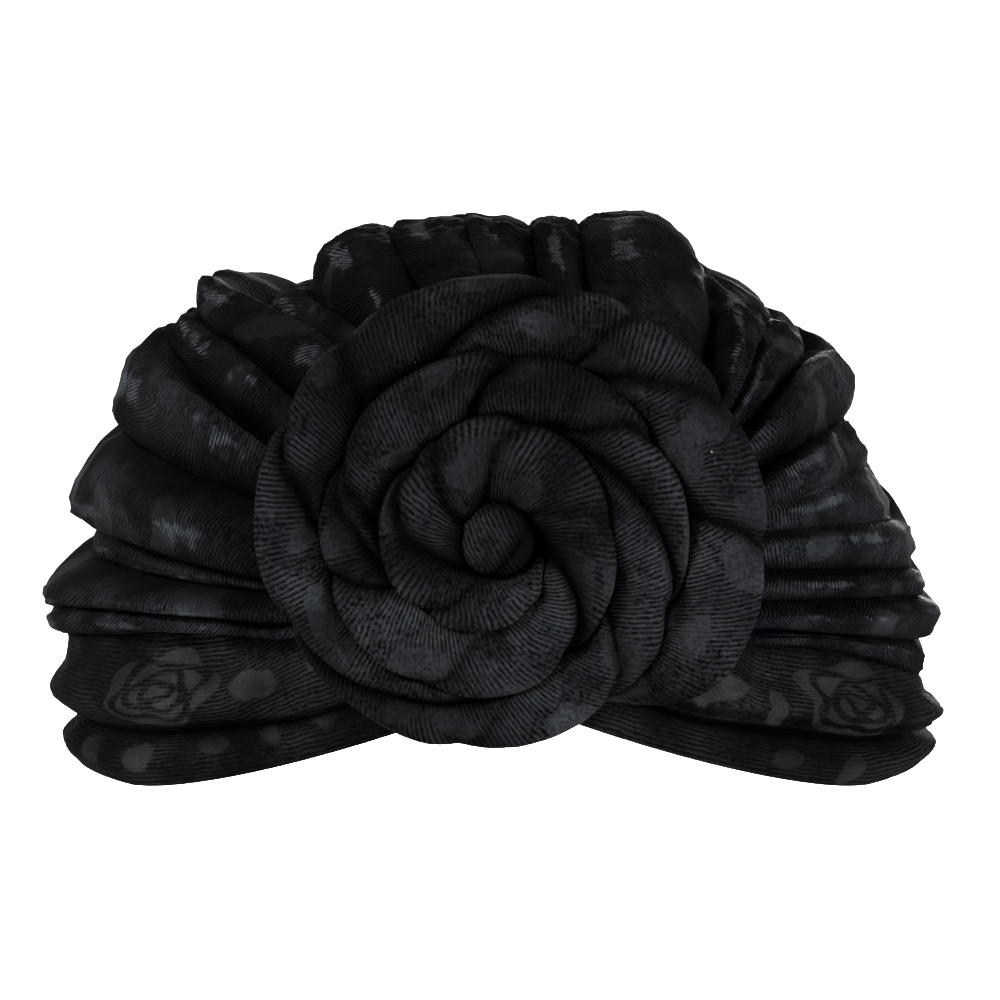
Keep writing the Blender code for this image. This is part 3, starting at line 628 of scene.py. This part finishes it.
def make_band(material):
    """The headband: one ring with a rolled hem, a crease and a bulging panel above it."""
    left, right = fold_lines()[0], fold_lines()[-1]
    half = BAND_COLUMNS // 2
    angles = np.linspace(0, 180, half + 1)
    heights = np.concatenate([np.linspace(0, 0.30, 17), np.linspace(0.312, 0.43, 12),
                              np.linspace(0.45, 1.0, 28)])
    stations = [(left, -1, float(t)) for t in angles]
    stations += [(right, 1, float(t)) for t in angles[-2:0:-1]]
    made = [band_column(*station, heights) for station in stations]
    grid = np.stack([points for points, _ in made])
    outward = np.stack([np.repeat(out[None], len(heights), 0) for _, out in made])
    columns, rows = grid.shape[:2]
    closing = np.concatenate([grid, grid[:1]])
    along = path_lengths(closing, 0)[:-1]
    up = path_lengths(grid, 1)
    free = np.minimum(smooth(heights, 0, 0.08), 1 - smooth(heights, 0.93, 1.0))[None]
    lumps = BAND_LUMP * wander2(along * 45, up * 60, 31)
    lumps = lumps + BAND_SWELL * wander2(along * 16, up * 30, 37)
    grid = grid + outward * (lumps * free)[..., None]
    points = grid.reshape(-1, 3)
    faces = []
    for i in range(columns):
        j = (i + 1) % columns
        faces += [(i * rows + k, i * rows + k + 1, j * rows + k + 1, j * rows + k)
                  for k in range(rows - 1)]
    closed, walls = thickened(points, faces, outward.reshape(-1, 3))
    front = np.array([station[1] * station[2] for station in stations])
    arc = np.radians(front)[:, None] * BAND_RADIUS * np.ones_like(up)
    motif, rose_u, rose_v = band_motifs(arc, up)
    # Painted shade at the hem's crease and under the seam, and the hem darker than the panel
    crest = 1 - np.exp(-np.abs(heights - HEM_CREASE_HEIGHT) / BAND_SHADE_WIDTH)
    crest = crest * (1 - 0.7 * np.exp((heights - 1) / BAND_SHADE_WIDTH))
    crest = crest * (1 - HEM_SHADE * (1 - smooth(heights, 0.25, 0.40)))
    crest = np.ones_like(up) * crest[None]
    on_cord = np.exp(-((heights - CORD_HEIGHT) / BAND_SHADE_WIDTH) ** 2)[None]
    right = smooth(arc, 0.02, 0.03) * on_cord
    return new_piece("band_cloth", closed, walls, material, rib=up + CORD_SLANT * right * arc,
                     motif=motif, crest=crest, rose_u=rose_u, rose_v=rose_v)


def rim_slope(along):
    """How steeply the rim rises at a place along the band."""
    t_deg = math.degrees(abs(along) / BAND_HALF_WIDTH)
    rise = rim_height(t_deg - 1) - rim_height(t_deg + 1)
    return math.copysign(rise / (2 * math.radians(1) * BAND_HALF_WIDTH), -along)


def band_motifs(along, up):
    """About the distance outside the headband's leaves and ovals, and the place inside the
    nearest rose, as a share of its size. Behind the ears the same motifs repeat."""
    behind = MOTIF_REACH - MOTIF_REPEAT + (np.abs(along) - MOTIF_REACH) % MOTIF_REPEAT
    folded = np.where(np.abs(along) > MOTIF_REACH, np.sign(along) * behind, along)
    best = np.full(along.shape, FAR_OUTSIDE)
    rose_u, rose_v = np.full(along.shape, NO_ROSE), np.full(along.shape, NO_ROSE)
    for motif in MOTIFS:
        u, v = folded - motif["along"], up - motif["up"]
        if motif["kind"] == "rose":
            u, v = u / motif["half_length"], v / motif["half_height"]
            nearer = np.hypot(u, v) < np.hypot(rose_u, rose_v)
            rose_u, rose_v = np.where(nearer, u, rose_u), np.where(nearer, v, rose_v)
            continue
        v = v + rim_slope(motif["along"]) * u
        shape = leaf if motif["kind"] == "leaf" else ellipse
        u, v = turned(u, v, math.radians(motif["turn_deg"]))
        best = np.minimum(best, shape(u, v, motif["half_length"], motif["half_height"]))
    return best, rose_u, rose_v


def smooth_edge(quarter):
    """The rope's outer edge without its notches."""
    knots = FIRST_QUARTER + np.arange(len(SPIRAL))
    return float(cubic(quarter, knots, SPIRAL)) * ROSETTE_RADIUS


def spiral_edge(quarter):
    """The rope's outer edge, which draws in where creases of the twist meet it."""
    reach = smooth_edge(quarter)
    notch = 0.0
    for twist in TWISTS:
        distance = math.radians(quarter * 90 - twist["outer_deg"]) * max(reach, LEAST_REACH)
        width = NOTCH_WIDTH if distance > 0 else NOTCH_WIDTH * 0.5
        notch = max(notch, twist["depth"] * math.exp(-(distance / width) ** 2))
    return reach + (NOTCH_OFFSET - notch) * EDGE_NOTCH * float(smooth(quarter, 3.0, 5.0))


def rope_width(quarter, edge):
    """The rope's width between its turns, which its tail loses."""
    shown = 1 - float(smooth(quarter, TAIL_START_QUARTER, TAIL_END_QUARTER))
    return (edge(quarter) - edge(quarter - 4)) * shown


def rope_middle(quarter, edge):
    """Middle of the rope in the X-Z plane, measured from the middle of the spiral."""
    return clock(quarter * 90) * (edge(quarter - 4) + rope_width(quarter, edge) / 2)


def rope_rings():
    """The rope's middle line in the X-Z plane and its half sizes, at even steps along it."""
    fine = np.linspace(ROPE_START_QUARTER, ROPE_END_QUARTER, 1600)
    line = np.array([rope_middle(q, smooth_edge) for q in fine])
    lengths = np.concatenate([[0], np.cumsum(np.linalg.norm(np.diff(line, axis=0), axis=1))])
    count = int(round(lengths[-1] / ROPE_RING_STEP))
    rings = []
    for i in range(count + 1):
        length = lengths[-1] * i / count
        quarter = float(np.interp(length, lengths, fine))
        middle = rope_middle(quarter, spiral_edge)
        before, after = (rope_middle(quarter + step, smooth_edge) for step in (-0.02, 0.02))
        ahead = after - before
        out = np.array([ahead[1], -ahead[0]]) / np.linalg.norm(ahead)
        out *= math.copysign(1, float(np.dot(out, middle)))
        tuck = 1 - float(smooth((ROPE_END_QUARTER - quarter) * 90, 0.0, TAIL_TUCK_DEG))
        to_tip = min(length, lengths[-1] - length) + TIP_STUB
        size = math.sqrt(1 - max(0.0, 1 - to_tip / TIP_LENGTH) ** 2)
        swell = ROPE_SWELL * (1 - float(smooth(np.linalg.norm(middle), 0.0, ROSETTE_RADIUS)))
        rings.append({"quarter": quarter, "place": middle + (ROSETTE_SIDE, ROSETTE_HEIGHT),
                      "out": out, "length": length, "radius": float(np.linalg.norm(middle)),
                      "half_depth": (ROPE_DEPTH + swell) / 2 * size * (1 - TAIL_THIN * tuck),
                      "half_width": (rope_width(quarter, spiral_edge) / 2 + TURN_OVERLAP) * size})
    return rings


def squared(values):
    """Flattens sines or cosines towards a superellipse."""
    return np.sign(values) * np.abs(values) ** (2 / ROPE_SQUARENESS)


def twist_relief(quarter, radius, angles):
    """How far the rope's surface lies under its round form: each ply of the twist comes out from
    over the one before it with a steep edge, then sinks slowly under the next one. Also which
    ply each point is on, and how near it is to a crease."""
    share = (1 - np.cos(angles)) / 2
    relief, line = np.zeros_like(angles), np.zeros_like(angles)
    ply = np.zeros(len(angles), int)
    for number, twist in enumerate(TWISTS):
        bend = share + 0.06 * math.sin(number * 2.4) * np.sin(2 * np.pi * share)
        span = twist["outer_deg"] - twist["inner_deg"]
        crossing = twist["outer_deg"] - span * bend
        reach = max(radius, LEAST_REACH)
        steep = math.hypot(1.0, math.radians(span) * reach / USUAL_WIDTH)
        distance = np.radians(quarter * 90 - crossing) * reach / steep
        nearness = 1 - np.clip(distance / PLY_EDGE, 0, 1)
        edge = 1 - np.sqrt(1 - nearness ** 2)
        nearness = 1 - np.clip(-distance / PLY_LENGTH, 0, 1)
        under = 0.75 * (1 - np.sqrt(1 - nearness ** 2)) + 0.25 * nearness
        relief = np.minimum(relief, -twist["depth"] * np.where(distance < 0, under, edge))
        # the painted shade line along each crease
        line = np.maximum(line, twist["depth"] ** 0.5 * np.exp(-np.abs(distance) / PLY_LINE))
        ply += (distance > 0) & (twist["depth"] >= 0.7)
    front = smooth(np.sin(angles), -0.25, 0.25)
    return relief * front, ply, line


def rope_section(ring):
    """One cross-section of the rope, its painted shade in the creases and towards the grooves
    between the turns, and its plies.
    """
    angles = np.linspace(0, 2 * np.pi, ROPE_SIDES, endpoint=False)
    angles = np.where(angles > 1.5 * np.pi, angles - 2 * np.pi, angles)
    relief, ply, line = twist_relief(ring["quarter"], ring["radius"], angles)
    lumps = wander2(np.cos(angles) * 1.2, ring["length"] * 70, 41)
    move = TWIST_DEPTH * relief + ROPE_LUMP * lumps
    scale = min(1.0, ring["half_width"] / 0.006)
    wide = (ring["half_width"] + move * 0.25 * scale) * squared(np.cos(angles))
    fill = GROOVE_FILL * (1 + 0.7 * float(wander(ring["quarter"] * 3, 71)))
    fill = fill * smooth(np.sin(angles), 0.0, 0.3) + (1 - fill) * np.sin(angles)
    deep = (ring["half_depth"] + move * scale) * fill
    deep = np.where(np.sin(angles) < 0, ring["half_depth"] * squared(np.sin(angles)), deep)
    places = ring["place"][None] + ring["out"][None] * wide[:, None]
    points = np.stack([places[:, 0], -deep, places[:, 1]], -1)
    # Painted shade: darker in the creases of the twist, along their lines and towards the grooves
    # between the turns
    shade = np.clip(1 + relief, 0, 1) * (1 - 0.97 * line)
    return points, shade * (0.5 + 0.5 * smooth(np.sin(angles), 0.0, 0.4)), wide, ply


def wrap_trees():
    """The solids that the rosette rests on, for measuring the room behind it."""
    trees = []
    for name in ("crown_wrap", "headband"):
        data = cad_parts[name].data
        trees.append(BVHTree.FromPolygons([v.co for v in data.vertices],
                                          [tuple(p.vertices) for p in data.polygons]))
    return trees


def resting_depth(points, trees, clearance):
    """The most these points can move back before they meet the wrap behind them."""
    room = []
    for x, y, z in points:
        for tree in trees:
            hit = tree.ray_cast(Vector((x, -1.0, z)), Vector((0.0, 1.0, 0.0)))[0]
            if hit is not None:
                room.append(hit.y - y)
    return min(room) - clearance


def tube_faces(rings, inwards=False):
    """Faces of a closed tube of rings with ROPE_SIDES points each, ends included."""
    faces = []
    for i in range(rings - 1):
        for k in range(ROPE_SIDES):
            a, b = i * ROPE_SIDES + k, i * ROPE_SIDES + (k + 1) % ROPE_SIDES
            here, there = (a, b), (b + ROPE_SIDES, a + ROPE_SIDES)
            faces.append((a, there[1], there[0], b) if inwards else here + there)
    tip = (rings - 1) * ROPE_SIDES
    ends = tuple(range(ROPE_SIDES)), tuple(range(tip, tip + ROPE_SIDES))
    faces.append(ends[0] if inwards else ends[0][::-1])
    faces.append(ends[1][::-1] if inwards else ends[1])
    return faces


def make_rope(material, trees):
    """The rosette's rope of twisted cloth, wound outwards round the bud."""
    rings = rope_rings()
    made = [rope_section(ring) for ring in rings]
    rooms = np.array([resting_depth(points, trees, ROPE_CLEARANCE) for points, *_ in made])
    lowest = np.array([rooms[max(0, i - REST_SPREAD):i + REST_SPREAD + 1].min()
                       for i in range(len(rooms))])
    kernel = np.hanning(2 * REST_SPREAD + 1)
    kernel /= kernel.sum()
    padded = np.pad(lowest, REST_SPREAD, mode="edge")
    rests = np.convolve(padded, kernel, mode="valid")
    points = np.vstack([section + (0.0, rest, 0.0)
                        for (section, *_), rest in zip(made, rests)])
    length = np.array([ring["length"] for ring in rings])[:, None]
    wide, ply = np.stack([row[2] for row in made]), np.stack([row[3] for row in made])
    slant = np.array(PLY_SLANTS)[ply % len(PLY_SLANTS)] + 0.08 * wander(length * 60, 51)
    motif = scattered(length + 0.013 * ply, wide * 1.2 + 0.3 + 0.009 * ply, ROPE_MOTIF_CELL, 9)
    # painted shade of the sections, with each ply's own tone
    crest = np.stack([row[1] for row in made]) * np.array(PLY_TONES)[ply % len(PLY_TONES)]
    return new_piece("rosette_rope", points, tube_faces(len(rings)), material,
                     rib=length + slant * wide, motif=motif, crest=crest)


def bud_edge(quarter):
    """Outline of the bud, which closes on itself after the spiral's first turn."""
    blend = float(smooth(quarter, 1.0, 3.0))
    return spiral_edge(quarter) * (1 - blend) + spiral_edge(quarter - 4) * blend


def make_bud(material, trees):
    """The rounded end of the cloth that shows in the middle of the coil."""
    points, ribs, shades = [], [], []
    for i in range(BUD_RINGS):
        slope = math.pi * (i + 0.5) / BUD_RINGS - math.pi / 2
        for k in range(ROPE_SIDES):
            quarter = 4 * k / ROPE_SIDES - 1
            reach = bud_edge(quarter) * float(squared(np.float64(math.cos(slope))))
            x, z = clock(quarter * 90) * reach
            lump = BUD_LUMP * float(wander2(np.float64(x * 300), np.float64(z * 300), 61))
            from_crease = abs(x * BUD_CREASE[0] + z * BUD_CREASE[1] - BUD_CREASE_PLACE)
            deep = BUD_DEPTH / 2 * float(squared(np.float64(math.sin(slope))))
            if slope > 0:
                deep = BUD_DEPTH / 2 * math.sin(slope) ** 0.9 + lump
                deep -= BUD_CREASE_DEPTH * math.exp(-from_crease / BUD_CREASE_WIDTH)
            points.append((x + ROSETTE_SIDE, -deep, z + ROSETTE_HEIGHT))
            ribs.append(x * 0.9 + z * 0.45)
            # Painted light and shade: lighter at the upper left, darker to the right and
            # downwards, along the crease and towards the bud's rim
            shade = 0.75 - 60 * x + 25 * z - 0.9 * math.exp(-from_crease / BUD_LINE)
            shades.append(min(1.3, shade) * max(0.0, math.sin(slope)) ** 0.6)
    points = np.array(points)
    points[:, 1] += resting_depth(points, trees, BUD_CLEARANCE)
    return new_piece("rosette_middle", points, tube_faces(BUD_RINGS, inwards=True), material,
                     rib=ribs, motif=[BUD_MOTIF], crest=shades)


def velvet(name, sheen, pitch, seed, pattern_light, roses=False):
    """Ribbed velvet: pile in fine ribs, smoother and paler where the pattern is burnt out,
    with a crushed nap, painted shade and highlights, and a few specks of lint."""
    material = bpy.data.materials.new(name)
    material.use_nodes = True
    nodes, links = material.node_tree.nodes, material.node_tree.links
    shader = nodes["Principled BSDF"]
    place = nodes.new("ShaderNodeTexCoord")

    def put(socket, value):
        if isinstance(value, (int, float)):
            socket.default_value = value
        else:
            links.new(value, socket)

    def read(key):
        node = nodes.new("ShaderNodeAttribute")
        node.attribute_name = key
        return node.outputs["Fac"]

    def calc(operation, a, b=0.0, c=0.0):
        node = nodes.new("ShaderNodeMath")
        node.operation = operation
        for socket, value in zip(node.inputs, (a, b, c)):
            put(socket, value)
        return node.outputs[0]

    def times(a, b):
        return calc("MULTIPLY", a, b)

    def times_add(a, b, c):
        return calc("MULTIPLY_ADD", a, b, c)

    def mapped(value, low, high, out_low=0.0, out_high=1.0):
        node = nodes.new("ShaderNodeMapRange")
        node.interpolation_type = "SMOOTHSTEP"
        for key, number in (("Value", value), ("From Min", low), ("From Max", high),
                            ("To Min", out_low), ("To Max", out_high)):
            put(node.inputs[key], number)
        return node.outputs["Result"]

    def noise(scale, detail, offset):
        node = nodes.new("ShaderNodeTexNoise")
        put(node.inputs["Scale"], scale)
        put(node.inputs["Detail"], detail)
        shift = nodes.new("ShaderNodeMapping")
        shift.inputs["Location"].default_value = (offset, seed, -offset)
        put(shift.inputs["Vector"], place.outputs["Object"])
        put(node.inputs["Vector"], shift.outputs["Vector"])
        return node.outputs["Fac"]

    def bent(value, amount, *how):
        """A value made uneven by noise."""
        return times_add(calc("SUBTRACT", noise(*how), 0.5), amount, value)

    def mixed(factor, a, b):
        node = nodes.new("ShaderNodeMix")
        node.data_type = "RGBA"
        put(node.inputs["Factor"], factor)
        for key, colour in (("A", a), ("B", b)):
            if isinstance(colour, tuple):
                node.inputs[key].default_value = (*colour, 1.0)
            else:
                links.new(colour, node.inputs[key])
        return node.outputs["Result"]

    def rose_shape():
        """1 on a rose's petals, 0 outside and on the lines of pile between them."""
        u = bent(read("rose_u"), 0.25, *ROSE_BEND_U)
        v = bent(read("rose_v"), 0.25, *ROSE_BEND_V)
        r = calc("SQRT", calc("ADD", times(u, u), times(v, v)))
        angle = calc("ARCTAN2", v, u)
        rim = calc("COSINE", times(angle, 5.0))
        inside = mapped(times_add(rim, -0.08, r), 1.0, 0.96)
        for ring, petals, turn in ROSE_LINES:
            swing = calc("COSINE", times_add(angle, petals, turn))
            line = times_add(swing, 0.16 * ring, ring)
            gap = calc("ABSOLUTE", calc("SUBTRACT", r, line))
            inside = times(inside, mapped(gap, 0.045, 0.11))
        return inside

    rib_place, motif, crest = read("rib"), read("motif"), read("crest")
    nap, broad, fine = noise(*NAP), noise(*BROAD_NAP), noise(*FINE_PILE)
    waver = times_add(noise(*RIB_WAVER), 7.0, times(noise(*RIB_JITTER), 1.4))
    phase = times_add(rib_place, 2 * math.pi / pitch, waver)
    wave = times_add(calc("SINE", phase), 0.5, 0.5)
    scale, amount = (260, 0.0020) if roses else (120, 0.0075)
    pattern = mapped(bent(motif, amount, scale, 3, 4.0), 0.0005, -0.0003)
    if roses:
        pattern = calc("MAXIMUM", pattern, rose_shape())
    depth = times(mapped(pattern, 0.0, 1.0, 1.0, RIB_IN_PATTERN),
                  mapped(noise(*RIB_WEAR), 0.38, 0.6, 0.30, 1.0))
    ribs = times(wave, depth)
    level = times(mapped(nap, 0.36, 0.66, 0.26, 1.0), mapped(broad, 0.3, 0.7, 0.5, 1.2))
    # painted light and shade from the piece's values, with its own tones
    level = times(level, mapped(crest, 0.0, 1.0, 0.10, 1.15))
    pile = times_add(ribs, RIB_LIGHT, GROUND_LIGHT)
    pile = times_add(pattern, pattern_light, pile)
    # painted highlight streaks where the piece marks them, along the crown's ridges
    ragged = mapped(bent(read("satin"), 1.6, *HIGHLIGHT_RAGS), 0.30, 0.95)
    painted_streak = times(ragged, times_add(wave, 0.6, 0.4))
    pile = times_add(painted_streak, HIGHLIGHT_LIGHT, pile)
    pile = calc("ADD", calc("SUBTRACT", fine, 0.5), pile)
    tone = times(pile, calc("MAXIMUM", level, times(painted_streak, 0.9)))
    tone = calc("MINIMUM", calc("MAXIMUM", tone, 0.0), 1.0)

    specks = nodes.new("ShaderNodeTexVoronoi")
    put(specks.inputs["Scale"], LINT_SCALE)
    put(specks.inputs["Vector"], place.outputs["Object"])
    draw = calc("FRACT", times(specks.outputs["Color"], 7.31))
    lint = times(calc("LESS_THAN", specks.outputs["Distance"], LINT_SIZE),
                 calc("GREATER_THAN", draw, LINT_SHARE))
    put(shader.inputs["Base Color"], mixed(lint, mixed(tone, BLACK, sheen), LINT))

    put(shader.inputs["Roughness"], mapped(pattern, 0.0, 1.0, 0.95, 0.7))
    put(shader.inputs["Specular IOR Level"], VELVET_SPECULAR)
    bump = nodes.new("ShaderNodeBump")
    put(bump.inputs["Strength"], 1.0)
    put(bump.inputs["Distance"], BUMP_HEIGHT)
    put(bump.inputs["Height"], times_add(fine, 0.4, ribs))
    put(shader.inputs["Normal"], bump.outputs["Normal"])
    return material


def make_floor():
    """A pale floor that curves up into a backdrop all round."""
    profile = [(0.0, 0.0), (1.0, 0.0), (FLOOR_RADIUS, 0.0)]
    profile += [(FLOOR_RADIUS + COVE_RADIUS * math.sin(a), COVE_RADIUS * (1 - math.cos(a)))
                for a in np.radians(np.arange(10, 91, 10))]
    profile += [(FLOOR_RADIUS + COVE_RADIUS, BACKDROP_HEIGHT)]
    around = 72
    points, faces = [(0.0, 0.0, FLOOR_HEIGHT)], []
    for r, h in profile[1:]:
        points += [(r * math.cos(a), r * math.sin(a), FLOOR_HEIGHT + h)
                   for a in np.linspace(0, 2 * np.pi, around, endpoint=False)]
    for k in range(around):
        n = (k + 1) % around
        faces.append((0, 1 + k, 1 + n))
        for ring in range(len(profile) - 2):
            a, b = 1 + ring * around, 1 + (ring + 1) * around
            faces.append((a + k, b + k, b + n, a + n))
    material = bpy.data.materials.new("pale_floor")
    material.use_nodes = True
    shader = material.node_tree.nodes["Principled BSDF"]
    shader.inputs["Base Color"].default_value = FLOOR_COLOUR
    shader.inputs["Roughness"].default_value = 0.9
    new_piece("floor", np.array(points), faces, material)


def make_camera():
    """The camera at the photograph's viewing angle."""
    data = bpy.data.cameras.new("camera")
    data.lens = CAMERA_LENS
    camera = add_object("camera", data)
    a, e = math.radians(CAMERA_AZIMUTH_DEG), math.radians(CAMERA_ELEVATION_DEG)
    back = Vector((math.sin(a) * math.cos(e), -math.cos(a) * math.cos(e), math.sin(e)))
    camera.location = Vector(CAMERA_TARGET) + back * CAMERA_DISTANCE
    camera.rotation_euler = (-back).to_track_quat("-Z", "Y").to_euler()
    bpy.context.scene.camera = camera


def make_lights():
    """Soft lamps aimed at the turban, in a white room."""
    for name, place, size, watts in LIGHTS:
        data = bpy.data.lights.new(name, "AREA")
        data.shape = "DISK"
        data.size = size
        data.energy = watts
        light = add_object(name, data)
        light.location = place
        aim = Vector(LIGHT_TARGET) - Vector(place)
        light.rotation_euler = aim.to_track_quat("-Z", "Y").to_euler()
    world = bpy.data.worlds.new("studio")
    world.use_nodes = True
    background = world.node_tree.nodes["Background"]
    background.inputs["Color"].default_value = (1.0, 1.0, 1.0, 1.0)
    background.inputs["Strength"].default_value = WORLD_STRENGTH
    bpy.context.scene.world = world
    bpy.context.scene.view_settings.view_transform = "Standard"


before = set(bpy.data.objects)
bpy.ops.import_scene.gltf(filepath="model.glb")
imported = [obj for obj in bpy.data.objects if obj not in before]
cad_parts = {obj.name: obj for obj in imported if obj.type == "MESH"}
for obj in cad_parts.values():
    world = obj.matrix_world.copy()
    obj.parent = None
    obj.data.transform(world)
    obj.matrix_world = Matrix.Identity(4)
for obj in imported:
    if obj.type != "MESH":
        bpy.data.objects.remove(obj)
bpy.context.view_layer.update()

make_camera()
make_lights()
make_floor()

crown = make_crown(velvet("crown_black_velvet", CROWN_SHEEN, pitch=0.00120, seed=3.0,
                          pattern_light=0.30))
band = make_band(velvet("band_black_velvet", BAND_SHEEN, pitch=0.00125, seed=5.0,
                        pattern_light=0.62, roses=True))
trees = wrap_trees()
rope = make_rope(velvet("rope_black_velvet", ROPE_SHEEN, pitch=0.00120, seed=7.0,
                        pattern_light=0.28), trees)
bud = make_bud(velvet("middle_black_velvet", ROPE_SHEEN, pitch=0.00115, seed=9.0,
                      pattern_light=0.34), trees)

for piece, node, slot in ((crown, "crown_wrap", "crown_velvet"),
                          (band, "headband", "band_velvet"),
                          (rope, "rosette_coil", "coil_velvet"),
                          (bud, "rosette_bud", "bud_velvet")):
    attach(piece, "root")
    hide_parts(node)

bpy.context.view_layer.update()
